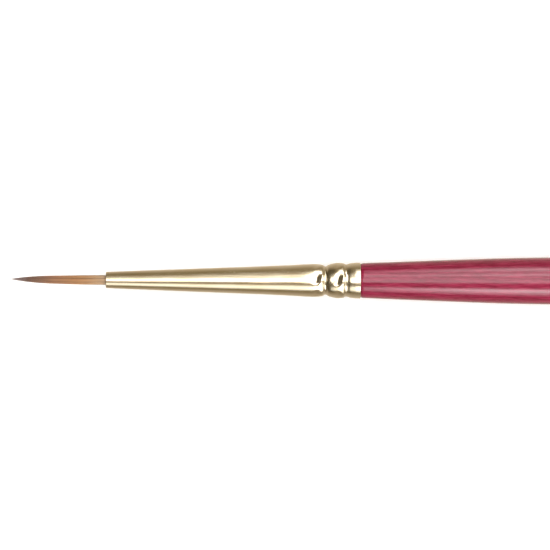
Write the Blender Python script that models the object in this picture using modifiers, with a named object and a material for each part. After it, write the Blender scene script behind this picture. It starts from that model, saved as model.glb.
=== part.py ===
"""Fine detail brush: a pointed round of size 0, with a crimped metal ferrule and a lacquered handle.

Run it with: blender --background --python part.py

The brush lies along X. Its point is at -X and its butt at +X. The origin is on the axis at the swell
of the handle, where the fingers hold it. Every turned piece shares one axis and one number of facets,
so that pieces that fit inside each other keep an even gap.
"""

import math

import bpy

MM = 0.001

# Lengths along the brush
HAIR_OUT = 9.5 * MM  # from the ferrule's mouth to the point
FERRULE_LENGTH = 25.45 * MM
HANDLE_LENGTH = 135.25 * MM  # from the ferrule's rear edge to the butt
SWELL_BEHIND_FERRULE = 21.25 * MM  # to the widest place of the handle, where the origin is

# Ferrule
MOUTH_RADIUS = 0.82 * MM  # outside
FERRULE_WALL = 0.30 * MM
LIP_RADIUS = 0.08 * MM
# Outside of the ferrule as (distance behind the mouth, radius): the cone, which flares a little at its
# rear, the first crimp groove, the bead, the second crimp groove and the collar.
FERRULE_LINE = [
    (0.0, MOUTH_RADIUS),
    (17.0 * MM, 1.471 * MM),
    (18.5 * MM, 1.540 * MM),
    (19.6 * MM, 1.605 * MM),
    (20.4 * MM, 1.642 * MM),
    (21.0 * MM, 1.648 * MM),
    (21.4 * MM, 1.615 * MM),
    (21.7 * MM, 1.540 * MM),
    (21.85 * MM, 1.450 * MM),
    (21.93 * MM, 1.425 * MM),
    (22.03 * MM, 1.450 * MM),
    (22.2 * MM, 1.560 * MM),
    (22.4 * MM, 1.630 * MM),
    (22.6 * MM, 1.682 * MM),
    (22.9 * MM, 1.745 * MM),
    (23.2 * MM, 1.772 * MM),
    (23.5 * MM, 1.768 * MM),
    (23.75 * MM, 1.728 * MM),
    (23.9 * MM, 1.655 * MM),
    (24.0 * MM, 1.630 * MM),
    (24.1 * MM, 1.642 * MM),
    (24.4 * MM, 1.722 * MM),
    (24.8 * MM, 1.778 * MM),
    (FERRULE_LENGTH, 1.805 * MM),
]

# Handle, measured on the lacquer
SHOULDER_RADIUS = 1.76 * MM
SWELL_RADIUS = 2.37 * MM
TAIL_RADIUS = 1.15 * MM
BUTT_ROUNDING = 1.1 * MM
BUTT_FLAT_RADIUS = 0.6 * MM
LACQUER_THICKNESS = 0.12 * MM
TENON_LENGTH = 10.0 * MM
TENON_POINT = 1.2 * MM  # length of the taper at the tenon's front end
TENON_POINT_DROP = 0.35 * MM

# Inside the ferrule, as distances behind the mouth
FIT_GAP = 0.02 * MM  # between pieces that touch
GLUE_FILM = 0.06 * MM
GLUE_FRONT = 16.4 * MM
GLUE_REAR = 25.1 * MM
RESIN_FRONT = 4.2 * MM
RESIN_REAR = 9.6 * MM
RESIN_DISH = 0.5 * MM  # depth of the hollow that the resin sets with
# Outside of the tuft's root as (distance behind the mouth, radius). It fills the mouth, and the
# thread draws it in to a waist.
ROOT_LINE = [
    (0.0, 0.495 * MM),
    (3.0 * MM, 0.61 * MM),
    (RESIN_FRONT, 0.60 * MM),
    (5.8 * MM, 0.52 * MM),
    (6.6 * MM, 0.52 * MM),
    (8.0 * MM, 0.56 * MM),
]
THREAD_RADIUS = 0.055 * MM
THREAD_TURNS = 4
THREAD_PITCH = 0.135 * MM
THREAD_MIDDLE = 6.2 * MM

# Tuft
HINGE_AHEAD = 0.1 * MM  # where the tuft bends, ahead of the mouth
TUFT_RADIUS = 0.495 * MM
HAIR_RINGS = 3  # round the one hair in the middle
HAIR_SHARE = 0.47  # a hair's radius, as a share of the distance between rings
HAIR_TIP_RADIUS = 0.009 * MM
RING_REACH = [1.0, 0.965, 0.92, 0.86]  # how far the hairs of each ring reach, as a share of the tuft
POINT_POWER = 2.4  # how late the tuft starts to narrow
POINT_BLUNTNESS = 0.62

# Fineness
FACETS = 32
HAIR_STEPS = 8
DOME_STEPS = 5
THREAD_STEPS = 16  # in each turn
ARC_STEPS = 4
MERGE_DISTANCE = 1e-7  # far below the thinnest film

# Places on the axis, from the origin
FERRULE_REAR = -SWELL_BEHIND_FERRULE
MOUTH = FERRULE_REAR - FERRULE_LENGTH
BUTT = FERRULE_REAR + HANDLE_LENGTH
HINGE = MOUTH - HINGE_AHEAD


def clear_scene():
    for obj in list(bpy.data.objects):
        bpy.data.objects.remove(obj)


def make_material(name, colour, roughness, metallic=0.0):
    material = bpy.data.materials.new(name)
    material.use_nodes = True
    shader = material.node_tree.nodes["Principled BSDF"]
    shader.inputs["Base Color"].default_value = (*colour, 1.0)
    shader.inputs["Roughness"].default_value = roughness
    shader.inputs["Metallic"].default_value = metallic
    return material


def add_object(name, data, material, parent):
    obj = bpy.data.objects.new(name, data)
    data.materials.append(material)
    bpy.data.collections["fine_detail_brush"].objects.link(obj)
    obj.parent = parent
    return obj


def add_empty(name, parent=None, location=(0, 0, 0), rotation=(0, 0, 0)):
    empty = bpy.data.objects.new(name, None)
    bpy.data.collections["fine_detail_brush"].objects.link(empty)
    empty.parent = parent
    empty.location = location
    empty.rotation_euler = rotation
    return empty


def turned(name, outline, material, parent, closed=False):
    """A turned piece. The outline holds (place along the axis, radius), and runs down its outer side
    from the butt's end to the point's end. It is closed for a sleeve, and else ends on the axis."""
    mesh = bpy.data.meshes.new(name)
    count = len(outline)
    edges = [(i, i + 1) for i in range(count - 1)]
    if closed:
        edges.append((count - 1, 0))
    mesh.from_pydata([(radius, 0, along) for along, radius in outline], edges, [])
    obj = add_object(name, mesh, material, parent)
    screw = obj.modifiers.new("turn", "SCREW")
    screw.steps = FACETS
    screw.render_steps = FACETS
    screw.use_merge_vertices = True
    screw.merge_threshold = MERGE_DISTANCE
    screw.use_smooth_shade = True
    return obj


def tube(name, points, thickness, material, parent, radii=None):
    """A six-sided strand along the points. radii scales its thickness at each of them."""
    curve = bpy.data.curves.new(name, "CURVE")
    curve.dimensions = "3D"
    curve.bevel_depth = thickness
    curve.bevel_resolution = 1
    curve.use_fill_caps = True
    spline = curve.splines.new("POLY")
    spline.points.add(len(points) - 1)
    for i, point in enumerate(points):
        spline.points[i].co = (*point, 1.0)
        spline.points[i].radius = radii[i] if radii else 1.0
    return add_object(name, curve, material, parent)


def bezier(start, first, second, end, steps):
    """Points on a cubic curve from start up to, and without, end."""
    found = []
    for i in range(steps):
        t = i / steps
        weights = ((1 - t) ** 3, 3 * t * (1 - t) ** 2, 3 * t * t * (1 - t), t**3)
        found.append(
            tuple(sum(w * p[k] for w, p in zip(weights, (start, first, second, end))) for k in (0, 1))
        )
    return found


def radius_at(line, place):
    """The radius at a place of a line of (place, radius)."""
    for (x1, r1), (x2, r2) in zip(line, line[1:]):
        if place <= x2:
            return r1 + (r2 - r1) * (place - x1) / (x2 - x1)
    return line[-1][1]


def ferrule_line(start, end, inset):
    """The outside of the ferrule from end back to start, drawn in by inset."""
    knots = [place for place, _ in FERRULE_LINE if start < place < end]
    places = [end, *reversed(knots), start]
    return [(MOUTH + place, radius_at(FERRULE_LINE, place) - inset) for place in places]


def bore_line(start, end, gap):
    """The line of the ferrule's bore, with a gap to it."""
    return ferrule_line(start, end, FERRULE_WALL + gap)


def handle_line(inset):
    """The handle's outside from the axis at the butt to the shoulder, drawn in by inset."""
    end = BUTT - inset
    rounding_start = BUTT - BUTT_ROUNDING
    rounding = end - rounding_start
    tail = TAIL_RADIUS - inset
    flat = BUTT_FLAT_RADIUS
    shoulder = (FERRULE_REAR + FIT_GAP, SHOULDER_RADIUS - inset)
    swell = (0.0, SWELL_RADIUS - inset)
    line = [(end, 0.0)]
    for i in range(ARC_STEPS):
        angle = math.pi / 2 * (1 - i / ARC_STEPS)
        line.append((rounding_start + rounding * math.sin(angle), flat + (tail - flat) * math.cos(angle)))
    line += bezier(
        (rounding_start, tail),
        (BUTT * 0.56, tail + 0.1 * MM),
        (BUTT * 0.21, swell[1]),
        swell,
        12,
    )
    line += bezier(
        swell,
        (-SWELL_BEHIND_FERRULE / 3, swell[1]),
        (FERRULE_REAR + 7.5 * MM, shoulder[1] + 0.26 * MM),
        shoulder,
        7,
    )
    return line + [shoulder]


def build_handle_core(material, parent):
    line = handle_line(LACQUER_THICKNESS + FIT_GAP)
    tenon_inset = GLUE_FILM + 2 * FIT_GAP
    front = FERRULE_LENGTH - TENON_LENGTH
    tenon = bore_line(front + TENON_POINT, FERRULE_LENGTH, tenon_inset)
    tenon[0] = (line[-1][0], tenon[0][1])
    line += tenon + [(MOUTH + front, tenon[-1][1] - TENON_POINT_DROP), (MOUTH + front, 0.0)]
    return turned("handle_core", line, material, parent)


def build_lacquer(material, parent):
    line = handle_line(0.0) + handle_line(LACQUER_THICKNESS)[::-1]
    return turned("lacquer_coat", line, material, parent)


def build_ferrule(material, parent):
    outer = ferrule_line(LIP_RADIUS, FERRULE_LENGTH, 0.0)
    inner = bore_line(LIP_RADIUS, FERRULE_LENGTH, 0.0)[::-1]
    crown = outer[-1][1] - LIP_RADIUS
    heel = inner[0][1] + LIP_RADIUS
    quarter = [math.pi / 2 * i / ARC_STEPS for i in range(1, ARC_STEPS)]
    lip_place = MOUTH + LIP_RADIUS
    lip = [(lip_place - LIP_RADIUS * math.sin(a), crown + LIP_RADIUS * math.cos(a)) for a in quarter]
    lip += [(MOUTH, crown), (MOUTH, heel)]
    lip += [(lip_place - LIP_RADIUS * math.cos(a), heel - LIP_RADIUS * math.sin(a)) for a in quarter]
    return turned("ferrule", outer + lip + inner, material, parent, closed=True)


def build_tenon_glue(material, parent):
    outer = bore_line(GLUE_FRONT, GLUE_REAR, FIT_GAP)
    inner = bore_line(GLUE_FRONT, GLUE_REAR, FIT_GAP + GLUE_FILM)
    return turned("tenon_glue", outer + inner[::-1], material, parent, closed=True)


def build_setting_resin(material, parent):
    """A plug with a socket for the tuft's root, and a groove in the socket where the thread lies."""
    half_groove = THREAD_PITCH * THREAD_TURNS / 2 + THREAD_RADIUS + FIT_GAP
    waist = radius_at(ROOT_LINE, THREAD_MIDDLE)
    floor = ROOT_LINE[-1][0] + FIT_GAP
    rear_radius = radius_at(FERRULE_LINE, RESIN_REAR) - FERRULE_WALL - FIT_GAP
    line = [(MOUTH + RESIN_REAR - RESIN_DISH, 0.0)]
    for i in range(1, ARC_STEPS):
        share = i / ARC_STEPS
        line.append((MOUTH + RESIN_REAR - RESIN_DISH * (1 - share**2), rear_radius * share))
    line += bore_line(RESIN_FRONT, RESIN_REAR, FIT_GAP)
    socket = [
        (RESIN_FRONT, radius_at(ROOT_LINE, RESIN_FRONT)),
        (THREAD_MIDDLE - half_groove, waist),
        (THREAD_MIDDLE - half_groove, waist + 2 * THREAD_RADIUS + FIT_GAP),
        (THREAD_MIDDLE + half_groove, waist + 2 * THREAD_RADIUS + FIT_GAP),
        (THREAD_MIDDLE + half_groove, waist),
        (floor, ROOT_LINE[-1][1]),
    ]
    line += [(MOUTH + place, radius + FIT_GAP) for place, radius in socket]
    line.append((MOUTH + floor, 0.0))
    return turned("setting_resin", line, material, parent)


def build_tuft_root(material, parent):
    """The bonded half of the hairs. It ends in a dome round the hinge, which the free hairs bend over."""
    line = [(MOUTH + ROOT_LINE[-1][0], 0.0)]
    line += [(MOUTH + place, radius) for place, radius in reversed(ROOT_LINE)]
    for i in range(DOME_STEPS + 1):
        angle = math.pi / 2 * i / DOME_STEPS
        line.append((HINGE - TUFT_RADIUS * math.sin(angle), TUFT_RADIUS * math.cos(angle)))
    line[-1] = (line[-1][0], 0.0)
    return turned("tuft_root", line, material, parent)


def build_binding_thread(material, parent):
    coil_radius = radius_at(ROOT_LINE, THREAD_MIDDLE) + FIT_GAP + THREAD_RADIUS
    start = MOUTH + THREAD_MIDDLE - THREAD_PITCH * THREAD_TURNS / 2
    points = []
    for i in range(THREAD_TURNS * THREAD_STEPS + 1):
        turn = i / THREAD_STEPS
        angle = 2 * math.pi * turn
        points.append(
            (coil_radius * math.cos(angle), coil_radius * math.sin(angle), start + THREAD_PITCH * turn)
        )
    return tube("binding_thread", points, THREAD_RADIUS, material, parent)


def tuft_narrowing(share):
    """The tuft's width at a share of its free length, from 1 at the ferrule down to 0 at the point."""
    return (1 - min(share, 1) ** POINT_POWER) ** POINT_BLUNTNESS


def build_hair(name, ring, angle, material, parent):
    """One hair from the root's dome to its own tip. The hairs draw together as the tuft narrows."""
    ring_spacing = TUFT_RADIUS / (HAIR_RINGS + HAIR_SHARE)
    thickness = ring_spacing * HAIR_SHARE
    length = HAIR_OUT - HINGE_AHEAD
    nearest = max(ring * ring_spacing - thickness, 0.0)
    start = math.sqrt((TUFT_RADIUS + FIT_GAP) ** 2 - nearest**2) / length
    reach = RING_REACH[ring]
    points, radii = [], []
    for i in range(HAIR_STEPS + 1):
        own_share = math.sin(math.pi / 2 * i / HAIR_STEPS)
        share = start + (reach - start) * own_share
        narrowing = tuft_narrowing(min(share, 0.995))
        offset = ring * ring_spacing * narrowing
        points.append((offset * math.cos(angle), offset * math.sin(angle), -length * share))
        taper = narrowing * math.sqrt(1 - own_share**5)
        radii.append(max(taper, HAIR_TIP_RADIUS / thickness))
    return tube(name, points, thickness, material, parent, radii)


def build_hairs(material, parent):
    build_hair("point_hair", 0, 0.0, material, parent)
    ring_names = ["", "inner_hair", "middle_hair", "outer_hair"]
    for ring in range(1, HAIR_RINGS + 1):
        count = 6 * ring
        for i in range(count):
            build_hair(f"{ring_names[ring]}_{i + 1:02d}", ring, 2 * math.pi * i / count, material, parent)


def build():
    clear_scene()
    collection = bpy.data.collections.new("fine_detail_brush")
    bpy.context.scene.collection.children.link(collection)
    wood = make_material("handle_wood", (0.66, 0.47, 0.29), 0.7)
    lacquer = make_material("crimson_lacquer", (0.33, 0.025, 0.05), 0.25)
    gilt_metal = make_material("gilt_brass", (0.80, 0.68, 0.42), 0.2, metallic=1.0)
    glue = make_material("clear_glue", (0.75, 0.66, 0.42), 0.4)
    resin = make_material("amber_resin", (0.55, 0.30, 0.08), 0.25)
    thread = make_material("linen_thread", (0.80, 0.76, 0.66), 0.8)
    hair = make_material("sable_hair", (0.45, 0.21, 0.08), 0.5)

    # The turning axis is each piece's own Z, so this empty turns Z to the brush's X.
    axis = add_empty("brush_axis", rotation=(0, math.pi / 2, 0))
    build_handle_core(wood, axis)
    build_lacquer(lacquer, axis)
    build_ferrule(gilt_metal, axis)
    build_tenon_glue(glue, axis)
    build_setting_resin(resin, axis)
    build_tuft_root(hair, axis)
    build_binding_thread(thread, axis)

    # The free hairs hang on the hinge that stands for their bending.
    hinge = add_empty("tuft_hinge", axis, location=(0, 0, HINGE))
    build_hairs(hair, hinge)


build()
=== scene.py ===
import math
import random

import bmesh
import bpy
import numpy as np
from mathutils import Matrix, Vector


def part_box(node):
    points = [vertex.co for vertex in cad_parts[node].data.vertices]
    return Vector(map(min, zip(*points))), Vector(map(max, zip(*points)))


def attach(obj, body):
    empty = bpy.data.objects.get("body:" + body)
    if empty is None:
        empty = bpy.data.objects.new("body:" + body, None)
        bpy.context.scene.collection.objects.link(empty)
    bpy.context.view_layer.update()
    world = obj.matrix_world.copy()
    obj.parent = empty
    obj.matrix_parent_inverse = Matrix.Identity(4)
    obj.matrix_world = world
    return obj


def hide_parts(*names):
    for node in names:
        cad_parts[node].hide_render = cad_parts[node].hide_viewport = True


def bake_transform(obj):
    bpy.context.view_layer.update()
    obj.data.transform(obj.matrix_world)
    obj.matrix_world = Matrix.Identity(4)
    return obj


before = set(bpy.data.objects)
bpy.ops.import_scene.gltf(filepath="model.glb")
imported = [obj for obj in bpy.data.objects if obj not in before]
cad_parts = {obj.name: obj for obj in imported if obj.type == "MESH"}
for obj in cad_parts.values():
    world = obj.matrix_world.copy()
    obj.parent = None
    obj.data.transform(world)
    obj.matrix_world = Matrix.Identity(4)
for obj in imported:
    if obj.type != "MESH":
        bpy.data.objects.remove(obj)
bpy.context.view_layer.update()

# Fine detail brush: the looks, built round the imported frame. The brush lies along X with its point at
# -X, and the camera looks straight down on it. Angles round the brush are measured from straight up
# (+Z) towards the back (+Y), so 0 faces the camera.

MM = 0.001

# Places from the frame
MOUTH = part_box("ferrule")[0].x
FERRULE_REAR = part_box("ferrule")[1].x
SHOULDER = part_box("lacquer_coat")[0].x
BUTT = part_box("lacquer_coat")[1].x
SWELL_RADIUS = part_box("lacquer_coat")[1].z
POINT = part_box("point_hair")[0].x
HAIR_NODES = [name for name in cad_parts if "hair" in name]

# Sizes that the frame's boxes don't tell, as part.py has them
FERRULE_WALL = 0.30 * MM
SHOULDER_RADIUS = 1.76 * MM
TAIL_RADIUS = 1.15 * MM
BUTT_ROUNDING = 1.1 * MM
BUTT_FLAT_RADIUS = 0.6 * MM
LACQUER_THICKNESS = 0.12 * MM
# Outside of the ferrule as (mm behind the mouth, radius in mm): the cone, which flares a little at its
# rear, the first crimp groove, the bead, the second crimp groove and the collar. The point at 10 mm isn't
# in part.py. It keeps the cone straight where the smooth curve runs through it.
FERRULE_LINE = [
    (0.0, 0.820),
    (10.0, 1.203),
    (17.0, 1.471),
    (18.5, 1.540),
    (19.6, 1.605),
    (20.4, 1.642),
    (21.0, 1.648),
    (21.4, 1.615),
    (21.7, 1.540),
    (21.85, 1.450),
    (21.93, 1.425),
    (22.03, 1.450),
    (22.2, 1.560),
    (22.4, 1.630),
    (22.6, 1.682),
    (22.9, 1.745),
    (23.2, 1.772),
    (23.5, 1.768),
    (23.75, 1.728),
    (23.9, 1.655),
    (24.0, 1.630),
    (24.1, 1.642),
    (24.4, 1.722),
    (24.8, 1.778),
    (25.45, 1.805),
]

# Sizes of what is finer here than in part.py
EDGE_RADIUS = 0.05 * MM  # of the ferrule's mouth and rear edge
CRIMPS_START = 20.4 * MM  # behind the mouth, where the ferrule's rows get closer
SHOULDER_EDGE = 0.32 * MM  # how far back the lacquer's rounded front edge reaches
SHOULDER_START_RADIUS = 1.645 * MM  # of the lacquer where that edge begins
FERRULE_RIPPLE = 0.0012 * MM
LACQUER_RIPPLE = 0.0045 * MM
# The seams of the six crimping jaws, as (mm behind the mouth, degrees round to the first of them)
JAW_SEAMS = ((21.34, 6), (23.46, 2))
JAW_DEPTHS = (0.145, 0.04, 0.10, 0.07, 0.11, 0.05)  # mm, of the marks at the seams of each groove
# How a mark runs, as (mm behind the seam, share of its depth): a dent and a ridge behind it
JAW_MARK_LINE = [
    (-1.1, 0.0),
    (-0.7, -0.25),
    (-0.3, -0.9),
    (0.0, 0.0),
    (0.25, 0.8),
    (0.34, 0.85),
    (0.5, 0.3),
    (0.64, 0.0),
]
JAW_MARK_HALF_WIDTH = 0.31  # radians round the tube
JAW_MARK_LEAN = 0.35  # mm along the brush for each radian round it

# The tuft: its radius as (share of the way from the mouth to the point, radius in mm)
TUFT_LINE = [
    (-0.05, 0.493),
    (0.0, 0.493),
    (0.08, 0.488),
    (0.21, 0.476),
    (0.34, 0.454),
    (0.46, 0.429),
    (0.59, 0.400),
    (0.66, 0.371),
    (0.72, 0.337),
    (0.79, 0.284),
    (0.85, 0.228),
    (0.91, 0.158),
    (0.96, 0.095),
    (1.0, 0.025),
]
HAIR_START = -0.04  # share of that way where the strands begin, inside the ferrule
HAIR_BOW = 0.075 * MM  # how far the tuft's point bends towards the back
HAIR_TIP_RADIUS = 0.002 * MM
OUTER_STRANDS = 96
UNDER_STRANDS = 72
INNER_STRANDS = 30

# The stage
FLOOR_HALF_SIDE = 3.0
FLOOR_GAP = 0.01 * MM  # below the swell
WORLD_STRENGTH = 1.25
VIEW_WIDTH = 55 * MM
VIEW_CENTRE = (-29.8 * MM, 0.535 * MM)
VIEW_TURN = 0.13  # degrees


# Meshes


def smooth_curve(knots, places):
    """Heights at places of the curve that runs smoothly through knots of (place, height)."""
    x, y = np.array(knots, float).T
    slope = np.gradient(y, x)
    i = np.clip(np.searchsorted(x, places) - 1, 0, len(x) - 2)
    width = x[i + 1] - x[i]
    t = (places - x[i]) / width
    return (
        (2 * t**3 - 3 * t**2 + 1) * y[i]
        + (t**3 - 2 * t**2 + t) * slope[i] * width
        + (3 * t**2 - 2 * t**3) * y[i + 1]
        + (t**3 - t**2) * slope[i + 1] * width
    )


def make_piece(name, points, faces, material):
    mesh = bpy.data.meshes.new(name)
    mesh.from_pydata([tuple(p) for p in points], [], faces)
    shape = bmesh.new()
    shape.from_mesh(mesh)
    bmesh.ops.recalc_face_normals(shape, faces=shape.faces)
    shape.to_mesh(mesh)
    shape.free()
    mesh.shade_smooth()
    mesh.materials.append(material)
    piece = bpy.data.objects.new(name, mesh)
    bpy.context.scene.collection.objects.link(piece)
    return piece


def angles_round(facets):
    return np.arange(facets) * 2 * math.pi / facets


def turned(name, places, radii, material):
    """A closed sleeve round X. Each row of radii goes once round at its place, and the rows go round
    the sleeve's section."""
    places, radii = np.asarray(places), np.asarray(radii)
    rows, facets = radii.shape
    angles = angles_round(facets)
    along = np.repeat(places[:, None], facets, axis=1)
    points = np.stack([along, radii * np.sin(angles), radii * np.cos(angles)], axis=-1)
    faces = []
    for row in range(rows):
        here, there = row * facets, (row + 1) % rows * facets
        for k in range(facets):
            after = (k + 1) % facets
            faces.append((here + k, here + after, there + after, there + k))
    return make_piece(name, points.reshape(-1, 3), faces, material)


def ripple(places, angles, height, seed):
    """A faint unevenness of a surface, as hand finishing leaves it, the same at 0 and at a full turn."""
    chance = random.Random(seed)
    total = np.zeros((len(places), len(angles)))
    for _ in range(10):
        wave, turns = chance.uniform(120, 900), chance.randint(0, 3)
        phase, tilt = chance.uniform(0, 6.28), chance.uniform(0, 6.28)
        total += np.sin(places[:, None] * wave + phase) * np.cos(turns * angles[None, :] + tilt)
    return total * height / 3


# Materials


def feed(tree, socket, value):
    """Gives a socket its value, which may be another node's output."""
    if isinstance(value, bpy.types.NodeSocket):
        tree.links.new(value, socket)
    else:
        socket.default_value = value


def add(tree, kind, settings=(), **inputs):
    """A node with its settings, and its inputs, each a value or another node's output."""
    made = tree.nodes.new("ShaderNode" + kind)
    for key, value in dict(settings).items():
        setattr(made, key, value)
    for key, value in inputs.items():
        feed(tree, made.inputs[key.replace("_", " ")], value)
    return made


def mix_colours(tree, factor, first, second, blend="MIX"):
    made = add(tree, "Mix", {"data_type": "RGBA", "blend_type": blend}, Factor=factor)
    feed(tree, made.inputs[6], first)
    feed(tree, made.inputs[7], second)
    return made.outputs[2]


def product(tree, first, second):
    made = add(tree, "Math", {"operation": "MULTIPLY"})
    feed(tree, made.inputs[0], first)
    feed(tree, made.inputs[1], second)
    return made.outputs[0]


def new_material(name, **constants):
    """A material whose shader has these constants. Returns it, its node tree and its shader."""
    material = bpy.data.materials.new(name)
    material.use_nodes = True
    shader = material.node_tree.nodes["Principled BSDF"]
    for key, value in constants.items():
        shader.inputs[key.replace("_", " ")].default_value = value
    return material, material.node_tree, shader


def noise(tree, along, across, detail=3.0, offset=0.0):
    """Noise that repeats along times a metre along the brush and across times a metre across it."""
    place = add(tree, "TexCoord").outputs["Object"]
    scaled = add(tree, "Mapping", Vector=place, Scale=(along, across, across), Location=(offset, offset, 0))
    return add(tree, "TexNoise", Vector=scaled.outputs[0], Scale=1.0, Detail=detail).outputs[0]


def ramp(tree, value, *stops):
    """Colours, or greys, along value. Each stop is (place, grey) or (place, (r, g, b))."""
    made = add(tree, "ValToRGB", Fac=value)
    elements = made.color_ramp.elements
    while len(elements) < len(stops):
        elements.new(0.5)
    for element, (place, colour) in zip(elements, stops):
        element.position = place
        element.color = (*colour, 1.0) if isinstance(colour, tuple) else (colour,) * 3 + (1.0,)
    return made.outputs["Color"]


def bump(tree, shader, height, distance, socket="Normal"):
    made = add(tree, "Bump", Height=height, Distance=distance)
    tree.links.new(made.outputs[0], shader.inputs[socket])


def gilt_material():
    """Polished thin metal with a gold finish: fine drawn lines along it and a faint tarnish."""
    material, tree, shader = new_material("gilt_metal", Metallic=1.0)
    lines = noise(tree, 60, 9000, 4.0)
    tarnish = ramp(tree, noise(tree, 350, 900, 3.0, 5.0), (0.42, 0.0), (0.70, 0.6))
    colour = mix_colours(tree, tarnish, (0.84, 0.75, 0.57, 1.0), (0.76, 0.64, 0.42, 1.0))
    tree.links.new(colour, shader.inputs["Base Color"])
    tree.links.new(ramp(tree, lines, (0.3, 0.13), (0.75, 0.26)), shader.inputs["Roughness"])
    bump(tree, shader, lines, 0.004 * MM)
    return material


def lacquer_material():
    """Translucent crimson lacquer over turned wood: its grain shows as streaks along the handle."""
    material, tree, shader = new_material(
        "crimson_lacquer", Specular_IOR_Level=0.12, Coat_Weight=1.0, Coat_Roughness=0.07
    )
    fine = noise(tree, 800, 11000, 3.0)
    broad = noise(tree, 280, 4600, 2.0, 3.0)
    grain = add(tree, "Mix", Factor=0.5, A=fine, B=broad)
    colour = ramp(
        tree,
        grain.outputs[0],
        (0.38, (0.185, 0.003, 0.028)),
        (0.50, (0.250, 0.007, 0.045)),
        (0.62, (0.345, 0.020, 0.070)),
    )
    tree.links.new(colour, shader.inputs["Base Color"])
    tree.links.new(ramp(tree, fine, (0.3, 0.22), (0.7, 0.40)), shader.inputs["Roughness"])
    bump(tree, shader, fine, 0.004 * MM)
    bump(tree, shader, grain.outputs[0], 0.010 * MM, socket="Coat Normal")
    return material


def hair_material():
    """Natural hair: pale at the ferrule, orange brown along the belly, then dark brown, and greyer at the
    very point."""
    material, tree, shader = new_material("sable_hair", Specular_IOR_Level=0.3, Sheen_Weight=0.15)
    share = add(tree, "Attribute", {"attribute_name": "hair_share"}).outputs["Fac"]
    tone = add(tree, "Attribute", {"attribute_name": "hair_tone"}).outputs["Fac"]
    along = ramp(
        tree,
        share,
        (0.0, (0.50, 0.350, 0.225)),
        (0.10, (0.50, 0.315, 0.175)),
        (0.22, (0.465, 0.255, 0.120)),
        (0.34, (0.445, 0.228, 0.102)),
        (0.56, (0.405, 0.210, 0.115)),
        (0.70, (0.310, 0.170, 0.108)),
        (0.82, (0.240, 0.147, 0.106)),
        (0.90, (0.350, 0.255, 0.235)),
        (1.0, (0.400, 0.320, 0.310)),
    )
    shade = ramp(tree, tone, (0.0, 0.55), (1.0, 1.3))
    tree.links.new(mix_colours(tree, 1.0, along, shade, "MULTIPLY"), shader.inputs["Base Color"])
    tree.links.new(ramp(tree, tone, (0.0, 0.62), (1.0, 0.48)), shader.inputs["Roughness"])
    return material


def plain_material(name, dark, light, along, across, roughness, relief, **constants):
    """A material of two colours that noise mixes, along and across times a metre, with a bump of the
    same noise that is relief deep."""
    material, tree, shader = new_material(name, **constants)
    pattern = noise(tree, along, across, 4.0)
    tree.links.new(ramp(tree, pattern, (0.35, dark), (0.65, light)), shader.inputs["Base Color"])
    tree.links.new(
        ramp(tree, pattern, (0.3, roughness), (0.7, roughness + 0.15)), shader.inputs["Roughness"]
    )
    bump(tree, shader, pattern, relief)
    return material


# Pieces


def make_ferrule(material):
    """The gilt tube, with the marks that the crimping jaws leave ahead of each groove. It is worked out
    in mm behind the mouth. Its section goes back along the outside, round the rear edge, forward along
    the bore and round the mouth."""
    facets = 128
    angles = angles_round(facets)
    length, edge, wall = (FERRULE_REAR - MOUTH) / MM, EDGE_RADIUS / MM, FERRULE_WALL / MM
    crimps = CRIMPS_START / MM
    cone = np.concatenate([[edge, edge + 0.02, edge + 0.1], np.linspace(0.5, crimps, 34)])
    crimped = np.linspace(crimps + 0.1, length - edge, 108)
    places = np.concatenate([cone, crimped])
    uneven = ripple(places * MM, angles, FERRULE_RIPPLE / MM, seed=4)
    radii = smooth_curve(FERRULE_LINE, places)[:, None] + uneven
    for seam, turn in JAW_SEAMS:
        radii += jaw_marks(places, angles, seam, math.radians(turn))
    quarter = np.linspace(0, math.pi / 2, 6)[1:]
    rear_places = length - edge * (1 - np.sin(quarter))
    rear_radii = radii[-1] - edge * (1 - np.cos(quarter))[:, None]
    bore_places = np.linspace(length, edge, 60)
    bore_radii = smooth_curve(FERRULE_LINE, bore_places)[:, None] - wall + np.zeros(facets)
    heel_places = edge * (1 - np.sin(quarter))
    heel_radii = bore_radii[-1] + edge * (1 - np.cos(quarter))[:, None]
    crown_places = heel_places[::-1]
    crown_radii = radii[0] - edge * (1 - np.cos(quarter))[::-1, None]
    all_places = np.concatenate([places, rear_places, bore_places, heel_places, crown_places])
    all_radii = np.concatenate([radii, rear_radii, bore_radii, heel_radii, crown_radii])
    return turned("gilt_ferrule", MOUTH + all_places * MM, all_radii * MM, material)


def jaw_marks(places, angles, seam, first_turn):
    """How far the metal stands out (mm) where two crimping jaws met, ahead of a groove: a dent and a
    ridge behind it, which lean round the tube."""
    raised = np.zeros((len(places), len(angles)))
    for jaw, depth in enumerate(JAW_DEPTHS):
        middle = first_turn + 2 * math.pi * jaw / len(JAW_DEPTHS)
        turn = (angles - middle + math.pi) % (2 * math.pi) - math.pi
        from_seam = places[:, None] - seam - JAW_MARK_LEAN * turn[None, :]
        from_seam = np.clip(from_seam, JAW_MARK_LINE[0][0], JAW_MARK_LINE[-1][0])
        fade = np.exp(-((turn[None, :] / JAW_MARK_HALF_WIDTH) ** 4))
        raised += depth * smooth_curve(JAW_MARK_LINE, from_seam) * fade
    return raised


def bezier(start, first, second, end, count):
    """Points on a cubic curve, with both its ends."""
    t = np.linspace(0, 1, count)[:, None]
    corners = [np.array(p) for p in (start, first, second, end)]
    return (
        (1 - t) ** 3 * corners[0]
        + 3 * t * (1 - t) ** 2 * corners[1]
        + 3 * t**2 * (1 - t) * corners[2]
        + t**3 * corners[3]
    )


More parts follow.
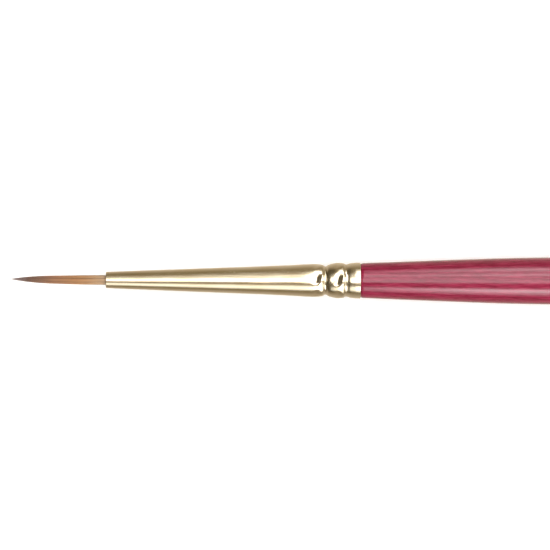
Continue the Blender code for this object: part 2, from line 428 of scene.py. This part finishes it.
def make_lacquer(material):
    """The lacquer coat: rounded where it meets the ferrule, and closed over the butt."""
    facets = 96
    angles = angles_round(facets)
    drop = SHOULDER_RADIUS - SHOULDER_START_RADIUS
    quarter = np.linspace(0, math.pi / 2, 9)
    shoulder = np.stack(
        [
            SHOULDER + SHOULDER_EDGE * (1 - np.cos(quarter)),
            SHOULDER_RADIUS - drop * (1 - np.sin(quarter)),
        ],
        axis=-1,
    )
    # The outside from the front edge to the butt, with the handles of part.py's curves
    front = bezier(
        shoulder[-1],
        (SHOULDER + 7.5 * MM, SHOULDER_RADIUS + 0.26 * MM),
        (SHOULDER / 3, SWELL_RADIUS),
        (0.0, SWELL_RADIUS),
        70,
    )
    rounding_start = BUTT - BUTT_ROUNDING
    tail = bezier(
        (0.0, SWELL_RADIUS),
        (BUTT * 0.21, SWELL_RADIUS),
        (BUTT * 0.56, TAIL_RADIUS + 0.1 * MM),
        (rounding_start, TAIL_RADIUS),
        150,
    )
    butt = np.stack(
        [
            rounding_start + BUTT_ROUNDING * np.sin(quarter),
            BUTT_FLAT_RADIUS + (TAIL_RADIUS - BUTT_FLAT_RADIUS) * np.cos(quarter),
        ],
        axis=-1,
    )
    outer = np.concatenate([shoulder, front[1:], tail[1:], butt[1:], [[BUTT, 0.02 * MM]]])
    # The inside, back from the butt, kept off the axis there and level under the front edge
    inner = outer[::-1] - (0, LACQUER_THICKNESS)
    inner[:, 0] = np.minimum(inner[:, 0], BUTT - LACQUER_THICKNESS)
    inner[:, 1] = np.clip(inner[:, 1], 0.01 * MM, None)
    inner[-len(shoulder) :, 1] = SHOULDER_RADIUS - LACQUER_THICKNESS
    # The ripple dies out ahead of the butt
    before_butt = np.clip((BUTT - 2 * MM - outer[:, 0]) / (4 * MM), 0, 1)[:, None]
    uneven = ripple(outer[:, 0], angles, LACQUER_RIPPLE, seed=9) * before_butt
    top = outer[:, 1][:, None] + uneven
    section = np.concatenate([outer[:, 0], inner[:, 0]])
    radii = np.concatenate([np.minimum(top, SWELL_RADIUS), inner[:, 1][:, None] + np.zeros(facets)])
    return turned("crimson_lacquer_coat", section, radii, material)


def make_tuft(material):
    """Some two hundred tapering hairs laid round a core, each with a shade of its own."""
    chance = random.Random(21)
    length = MOUTH - POINT
    steps = 22
    points, faces, shares, tones = [], [], [], []

    def strand(rho, angle, reach, thickness, tone, sides=6, wander=0.0, fill=0.0):
        """rho is the strand's place between the tuft's axis, 0, and its outside, 1. reach is the share
        of the way to the point where it ends. fill is the share of the tuft's radius that it takes up
        at least."""
        sway, swirl = chance.uniform(0, 6.28), chance.uniform(-wander, wander)
        first = len(points)
        for step in range(steps + 1):
            own = (step / steps) ** 0.85  # how far along the strand, in steps that shorten to its tip
            share = HAIR_START + (reach - HAIR_START) * own
            outside = float(smooth_curve(TUFT_LINE, np.array([share]))[0]) * MM
            taper = max(1 - max(own - 0.25, 0) / 0.75, 0.0) ** 0.75
            radius = max(thickness * taper, HAIR_TIP_RADIUS, fill * outside)
            off = max(rho * (outside - radius), 0)
            turn = angle + swirl * share + 0.02 * math.sin(7 * share + sway)
            lift = HAIR_BOW * max(share, 0) ** 2.2
            centre = (MOUTH - length * share, off * math.sin(turn) + lift, off * math.cos(turn))
            for side in range(sides):
                a = 2 * math.pi * side / sides
                points.append(
                    (centre[0], centre[1] + radius * math.sin(a), centre[2] + radius * math.cos(a))
                )
                shares.append(max(share, 0))
                tones.append(tone)
        for step in range(steps):
            here = first + step * sides
            for side in range(sides):
                after = (side + 1) % sides
                faces.append(
                    (here + side, here + after, here + sides + after, here + sides + side)
                )
        faces.append(tuple(range(first, first + sides)))
        faces.append(tuple(range(first + steps * sides, first + (steps + 1) * sides)))

    # The core, then three layers of strands from the outside in
    strand(0.0, 0.0, 1.0, 0.03 * MM, 0.3, sides=24, fill=0.8)
    for i in range(OUTER_STRANDS):
        strand(
            chance.uniform(0.95, 1.0),
            2 * math.pi * (i + chance.uniform(-0.3, 0.3)) / OUTER_STRANDS,
            chance.uniform(0.84, 0.985),
            chance.uniform(0.020, 0.029) * MM,
            chance.random(),
            wander=0.12,
        )
    for i in range(UNDER_STRANDS):
        strand(
            chance.uniform(0.80, 0.90),
            2 * math.pi * (i + chance.uniform(-0.4, 0.4)) / UNDER_STRANDS,
            chance.uniform(0.90, 0.995),
            chance.uniform(0.022, 0.030) * MM,
            chance.random() * 0.7,
            wander=0.2,
        )
    for _ in range(INNER_STRANDS):
        strand(
            chance.uniform(0.3, 0.7),
            chance.uniform(0, 2 * math.pi),
            chance.uniform(0.93, 1.0),
            chance.uniform(0.024, 0.032) * MM,
            chance.random() * 0.6,
        )
    tuft = make_piece("hair_tuft", points, faces, material)
    for name, values in (("hair_share", shares), ("hair_tone", tones)):
        attribute = tuft.data.attributes.new(name, "FLOAT", "POINT")
        attribute.data.foreach_set("value", np.array(values, np.float32))
    return tuft


# The stage


def softbox(name, angles, x_range, distance, across, along=((0, 1), (1, 1)), glossy=None):
    """A flat soft light at a distance from the brush. It runs along X over x_range and faces the brush
    over angles, in degrees from straight up towards the back. Its radiance is across, as (angle,
    radiance), times along, as (x in mm, factor). With glossy True only reflections see it, and with
    False everything but them."""
    light = bpy.data.lights.new(name, "AREA")
    light.shape = "RECTANGLE"
    light.size = x_range[1] - x_range[0]
    middle, spread = math.radians(sum(angles) / 2), math.radians(angles[1] - angles[0])
    light.size_y = 2 * distance * math.tan(spread / 2)
    light.energy = math.pi * light.size * light.size_y
    lamp = bpy.data.objects.new(name, light)
    bpy.context.scene.collection.objects.link(lamp)
    lamp.location = (sum(x_range) / 2, distance * math.sin(middle), distance * math.cos(middle))
    lamp.rotation_euler = (-middle, 0, 0)
    lamp.visible_camera = False
    lamp.visible_glossy = glossy is not False
    lamp.visible_diffuse = glossy is not True

    light.use_nodes = True
    tree = light.node_tree
    place = add(tree, "SeparateXYZ", Vector=add(tree, "NewGeometry").outputs["Parametric"])
    peak = max(radiance for _, radiance in across)
    across_stops = [
        (0.5 + math.tan(math.radians(angle) - middle) / math.tan(spread / 2) / 2, radiance / peak)
        for angle, radiance in across
    ]
    along_stops = [((x * MM - x_range[0]) / light.size, factor) for x, factor in along]
    round_it = ramp(tree, place.outputs["Y"], *across_stops)
    down_it = ramp(tree, place.outputs["X"], *along_stops)
    radiance = product(tree, product(tree, round_it, down_it), peak)
    tree.links.new(radiance, tree.nodes["Emission"].inputs["Strength"])
    return lamp


def make_floor():
    """A pale floor, tilted so that the handle's swell and butt rest on it."""
    material, tree, shader = new_material(
        "pale_floor", Specular_IOR_Level=0.2, Emission_Color=(1, 1, 1, 1), Emission_Strength=0.3
    )
    speckle = noise(tree, 400, 400, 5.0)
    tree.links.new(ramp(tree, speckle, (0.3, 0.88), (0.7, 0.92)), shader.inputs["Base Color"])
    tree.links.new(ramp(tree, speckle, (0.3, 0.8), (0.7, 0.9)), shader.inputs["Roughness"])
    half = FLOOR_HALF_SIDE
    floor = make_piece(
        "studio_floor",
        [(-half, -half, 0), (half, -half, 0), (half, half, 0), (-half, half, 0)],
        [(0, 1, 2, 3)],
        material,
    )
    rise = (SWELL_RADIUS - TAIL_RADIUS) / (BUTT - BUTT_ROUNDING)
    floor.location = (0, 0, -SWELL_RADIUS - FLOOR_GAP)
    floor.rotation_euler = (0, -math.atan(rise), 0)
    floor.visible_glossy = False


def make_lights():
    """The soft lights round the brush. Their bands of light are what the metal and the lacquer mirror."""
    # Two long lights over the whole brush, one above and a little behind, one low in front
    whole, whole_along = (-0.25, 0.95), ((-250, 0), (-230, 1), (950, 1))
    softbox(
        "main_softbox",
        (-15, 50),
        whole,
        0.5,
        (
            *((-15, 0.2), (-10, 2.6), (-6, 3.2), (-2, 3.2), (2, 2.5)),
            *((12, 2.5), (17, 1.0), (22, 0.55), (32, 0.28), (50, 0)),
        ),
        whole_along,
    )
    softbox(
        "lower_softbox",
        (-79, -36),
        whole,
        0.5,
        ((-79, 0), (-71, 1.0), (-63, 1.2), (-50, 1.2), (-44, 0.9), (-36, 0)),
        whole_along,
    )
    # Three that only reflections see, which die out over the ferrule
    softbox(
        "upper_veil",
        (12, 66),
        (-0.038, 0.12),
        0.15,
        ((12, 0), (18, 1.2), (24, 2.2), (30, 2.9), (35, 3.2), (38, 2.6), (44, 1.8), (52, 0.6), (66, 0)),
        ((-38, 0), (-31, 1), (-24, 0.8), (12, 0.8), (45, 0.4)),
        glossy=True,
    )
    softbox(
        "upper_strip",
        (18, 78),
        (-0.038, 0.12),
        0.149,
        (
            *((22, 0), (26, 2.2), (30, 2.2), (34, 0.2), (46, 0.5)),
            *((52, 3.8), (60, 4.2), (66, 2.2), (72, 0.8), (78, 0)),
        ),
        ((-32, 0), (-24, 0.35), (-13, 0.75), (0, 1), (12, 1), (45, 0.4)),
        glossy=True,
    )
    softbox(
        "lower_strip",
        (-84, -36),
        (-0.038, 0.055),
        0.15,
        ((-84, 0), (-78, 1.0), (-66, 2.2), (-60, 4.4), (-54, 7.0), (-48, 6.0), (-42, 2.5), (-36, 0)),
        ((-32, 0), (-24, 0.33), (-13, 0.74), (0, 0.88), (12, 0.88), (55, 0)),
        glossy=True,
    )
    # One from above that reflections don't see, and one off the butt's end
    softbox("fill", (-40, 40), (-1.1, 0.3), 0.8, ((-40, 0.8), (40, 0.8)), glossy=False)
    panel = softbox("end_panel", (-20, 20), (-0.3, 0.3), 0.9, ((-20, 1.6), (20, 1.6)))
    panel.location = (0.95, 0.0, 0.33)
    panel.rotation_euler = (0, math.pi / 2, 0)


def make_world():
    """The room's light, by direction. It is warm, and paler down and up than level. Above the horizon
    it is darker on the point's side, and everywhere a little darker in front."""
    world = bpy.data.worlds.new("studio")
    world.use_nodes = True
    tree = world.node_tree
    direction = add(tree, "SeparateXYZ", Vector=add(tree, "TexCoord").outputs["Generated"])
    height = add(tree, "MapRange", Value=direction.outputs["Z"], From_Min=-1.0)
    surroundings = ramp(
        tree,
        height.outputs[0],
        (0.0, (0.80, 0.74, 0.63)),
        (0.10, (0.58, 0.51, 0.42)),
        (0.24, (0.46, 0.39, 0.31)),
        (0.38, (0.34, 0.28, 0.20)),
        (0.50, (0.29, 0.23, 0.145)),
        (0.62, (0.25, 0.20, 0.12)),
        (0.75, (0.29, 0.24, 0.155)),
        (0.90, (0.46, 0.385, 0.29)),
    )
    end = add(tree, "MapRange", Value=direction.outputs["X"], From_Min=-1.0)
    dim_end = ramp(tree, end.outputs[0], (0.0, 0.25), (0.33, 0.35), (0.45, 0.8), (0.55, 0.8), (1.0, 1.0))
    above = add(tree, "MapRange", Value=direction.outputs["Z"], From_Min=-0.3, From_Max=0.1)
    dimming = mix_colours(tree, above.outputs[0], (0.95, 0.95, 0.95, 1), dim_end)
    colour = mix_colours(tree, 1.0, surroundings, dimming, "MULTIPLY")
    tree.links.new(colour, tree.nodes["Background"].inputs["Color"])
    side = add(tree, "MapRange", Value=direction.outputs["Y"], From_Min=-1.0)
    dim_front = ramp(tree, side.outputs[0], (0.0, 0.85), (0.42, 0.88), (0.54, 1.0))
    strength = product(tree, dim_front, WORLD_STRENGTH)
    tree.links.new(strength, tree.nodes["Background"].inputs["Strength"])
    bpy.context.scene.world = world


def make_camera():
    """Straight above, with a long lens, over the tuft, the ferrule and the front of the handle."""
    camera = bpy.data.cameras.new("camera")
    camera.lens = 200
    camera.sensor_width = 36
    camera.clip_start = 0.01
    distance = VIEW_WIDTH * camera.lens / camera.sensor_width
    holder = bpy.data.objects.new("camera", camera)
    bpy.context.scene.collection.objects.link(holder)
    holder.location = (*VIEW_CENTRE, distance)
    holder.rotation_euler = (0, 0, math.radians(VIEW_TURN))
    bpy.context.scene.camera = holder


def main():
    gilt = gilt_material()
    lacquer = lacquer_material()
    hair = hair_material()

    ferrule = make_ferrule(gilt)
    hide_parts("ferrule")
    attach(ferrule, "brush")

    coat = make_lacquer(lacquer)
    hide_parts("lacquer_coat")
    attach(coat, "brush")

    tuft = make_tuft(hair)
    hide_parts("tuft_root", *HAIR_NODES)
    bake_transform(tuft)

    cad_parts["handle_core"].material_slots[0].material = plain_material(
        "handle_wood", (0.50, 0.33, 0.18), (0.72, 0.53, 0.34), 40, 3000, 0.6, 0.01 * MM
    )
    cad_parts["tenon_glue"].material_slots[0].material = plain_material(
        "clear_glue", (0.60, 0.50, 0.28), (0.78, 0.70, 0.46), 900, 900, 0.3, 0.005 * MM
    )
    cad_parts["setting_resin"].material_slots[0].material = plain_material(
        "amber_resin", (0.36, 0.16, 0.03), (0.60, 0.33, 0.09), 700, 700, 0.15, 0.003 * MM, Coat_Weight=0.5
    )
    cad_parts["binding_thread"].material_slots[0].material = plain_material(
        "linen_thread", (0.62, 0.56, 0.44), (0.86, 0.82, 0.72), 9000, 5000, 0.7, 0.01 * MM, Sheen_Weight=0.4
    )
    make_floor()
    make_lights()
    make_world()
    make_camera()
    bpy.context.scene.view_settings.view_transform = "Standard"


main()
